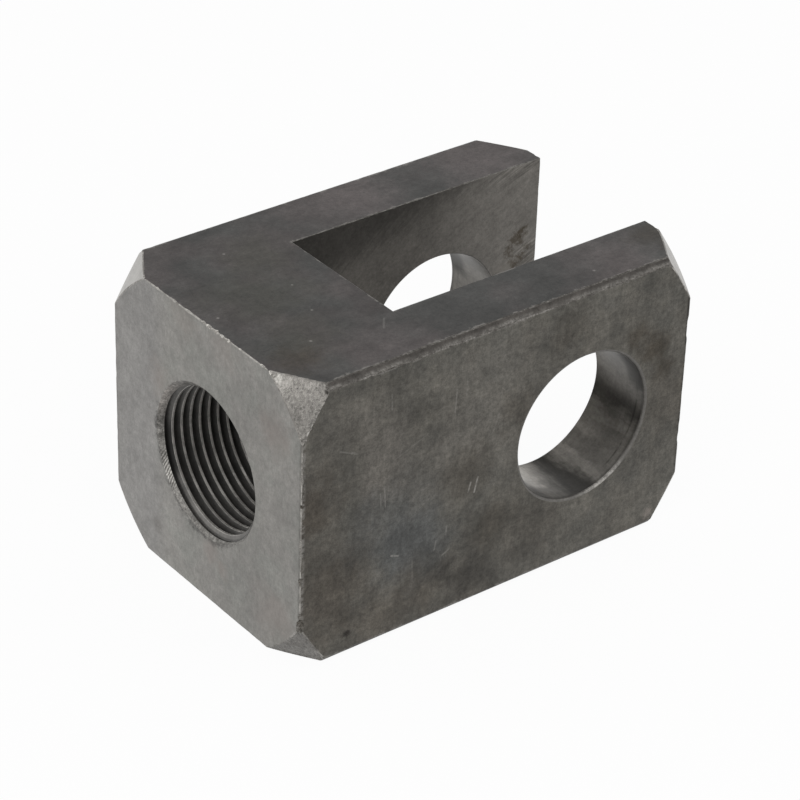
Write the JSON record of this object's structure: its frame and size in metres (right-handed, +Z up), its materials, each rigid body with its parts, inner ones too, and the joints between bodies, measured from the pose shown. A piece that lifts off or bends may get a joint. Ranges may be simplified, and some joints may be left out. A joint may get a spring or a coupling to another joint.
{
  "type": "threaded rod clevis",
  "caption": "Fork head machined from square steel bar, with a cross bore for a pin through both arms and a tapped bore in its solid end for a rod.",
  "frame": {"origin": "centre of the pin bore, midway between the arms", "axes": "+X along the thread's axis from the solid end to the open end of the fork, +Y along the pin bore, +Z up from the flat side it lies on"},
  "size_m": [0.088, 0.058, 0.058],
  "materials": {
    "machined_steel": "oil-dark machined bar steel, dull, with brighter turned chamfers"
  },
  "bodies": {
    "root": {"clevis": "machined_steel"}
  },
  "joints": []
}
